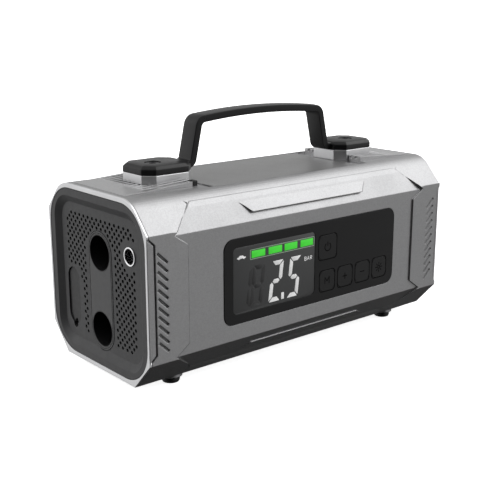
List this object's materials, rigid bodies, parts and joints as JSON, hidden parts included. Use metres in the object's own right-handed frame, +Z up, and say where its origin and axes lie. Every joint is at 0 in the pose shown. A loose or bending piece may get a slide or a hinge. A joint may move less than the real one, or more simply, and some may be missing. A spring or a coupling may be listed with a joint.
{
  "type": "jump starter pack",
  "caption": "Portable jump starter with an air pump: grey metal body, carrying handle, display panel with keys, round power sockets, air outlet and a flap over the jump-lead outlet.",
  "frame": {"origin": "under the middle of the body, on the surface it stands on", "axes": "+X along the body away from the socket end, +Y from the display side to the back, +Z up"},
  "size_m": [0.246, 0.106, 0.1543],
  "materials": {
    "housing_grey": "satin",
    "plate_grey": "satin",
    "pad_grey": "satin",
    "bright_rim": "satin",
    "cap_plastic": "fine grain",
    "socket_face": "fine grain",
    "black_plastic": "satin",
    "flap_plastic": "fine grain",
    "contact_brass": "polished",
    "steel": "satin",
    "outlet_chrome": "polished",
    "panel_black": "gloss",
    "lcd_glass": "gloss",
    "key_black": "gloss",
    "board_green": "satin",
    "handle_black": "satin",
    "block_silver": "satin",
    "screw_black": "blackened",
    "rubber": "matt",
    "cell_wrap": "gloss",
    "tray_plastic": "satin",
    "capacitor_sleeve": "gloss",
    "cast_alloy": "cast",
    "lens_clear": "clear",
    "reflector_silver": "polished",
    "lamp_white": "satin",
    "gear_nylon": "satin",
    "hose_black": "matt"
  },
  "bodies": {
    "base": {"front_housing": "housing_grey", "rear_housing": "housing_grey", "top_plate": "plate_grey", "left_rib_pad": "pad_grey", "right_rib_pad": "pad_grey", "rail_plug": "rubber", "left_end_ring": "bright_rim", "right_end_ring": "bright_rim", "left_end_cap": "cap_plastic", "right_end_cap": "cap_plastic", "front_end_clip": "housing_grey", "rear_end_clip": "housing_grey", "socket_plate": "socket_face", "upper_socket": "black_plastic", "lower_socket": "black_plastic", "centre_contacts": "contact_brass", "side_contacts": "steel", "air_outlet": "outlet_chrome", "jump_socket": "black_plastic", "jump_contacts": "contact_brass", "flap_pin": "steel", "display_panel": "panel_black", "lcd_module": "lcd_glass", "display_board": "board_green", "key_switches": "black_plastic", "board_screws": "steel", "handle": "handle_black", "left_handle_block": "block_silver", "right_handle_block": "block_silver", "handle_screws": "screw_black", "handle_anchors": "steel", "feet": "rubber", "foot_screws": "steel", "battery_cells": "cell_wrap", "front_cell_tray": "tray_plastic", "rear_cell_tray": "tray_plastic", "bus_bars": "steel", "main_board": "board_green", "power_relay": "black_plastic", "capacitors": "capacitor_sleeve", "heat_sink": "cast_alloy", "lamp_lens": "lens_clear", "lamp_reflector": "reflector_silver", "lamp_board": "lamp_white", "pump_motor": "steel", "gear_axle": "steel", "pump_frame": "cast_alloy", "pump_cylinder": "cast_alloy", "cylinder_head": "cast_alloy", "air_hose": "hose_black", "body_screws": "steel"},
    "flap": {"jump_flap": "flap_plastic"},
    "power_key": {"power_key": "key_black"},
    "mode_key": {"mode_key": "key_black"},
    "plus_key": {"plus_key": "key_black"},
    "minus_key": {"minus_key": "key_black"},
    "lamp_key": {"lamp_key": "key_black"},
    "crank": {"crank_gear": "gear_nylon"},
    "pinion": {"motor_pinion": "contact_brass"},
    "piston": {"piston": "cast_alloy"}
  },
  "joints": [
    {"name": "flap_hinge", "type": "hinge", "parent": "base", "child": "flap", "pos_m": [-0.1179, 0.0314, 0.0544], "axis": [0, 1, 0], "range_deg": [0, 100]},
    {"name": "power_key_press", "type": "slide", "parent": "base", "child": "power_key", "axis": [0, 1, 0], "range_m": [0, 0.0005], "stiffness_N_per_m": 400},
    {"name": "mode_key_press", "type": "slide", "parent": "base", "child": "mode_key", "axis": [0, 1, 0], "range_m": [0, 0.0005], "stiffness_N_per_m": 400},
    {"name": "plus_key_press", "type": "slide", "parent": "base", "child": "plus_key", "axis": [0, 1, 0], "range_m": [0, 0.0005], "stiffness_N_per_m": 400},
    {"name": "minus_key_press", "type": "slide", "parent": "base", "child": "minus_key", "axis": [0, 1, 0], "range_m": [0, 0.0005], "stiffness_N_per_m": 400},
    {"name": "lamp_key_press", "type": "slide", "parent": "base", "child": "lamp_key", "axis": [0, 1, 0], "range_m": [0, 0.0005], "stiffness_N_per_m": 400},
    {"name": "crank_spin", "type": "hinge", "parent": "base", "child": "crank", "pos_m": [0.084, -0.01, 0.048], "axis": [0, 1, 0], "continuous": true},
    {"name": "pinion_spin", "type": "hinge", "parent": "base", "child": "pinion", "pos_m": [0.084, -0.01, 0.028], "axis": [0, 1, 0], "continuous": true},
    {"name": "piston_stroke", "type": "slide", "parent": "base", "child": "piston", "axis": [0, 0, 1], "range_m": [0, 0.014]}
  ],
  "couplings": [
    {"joint": "pinion_spin", "follows": "crank_spin", "ratio": -4}
  ]
}
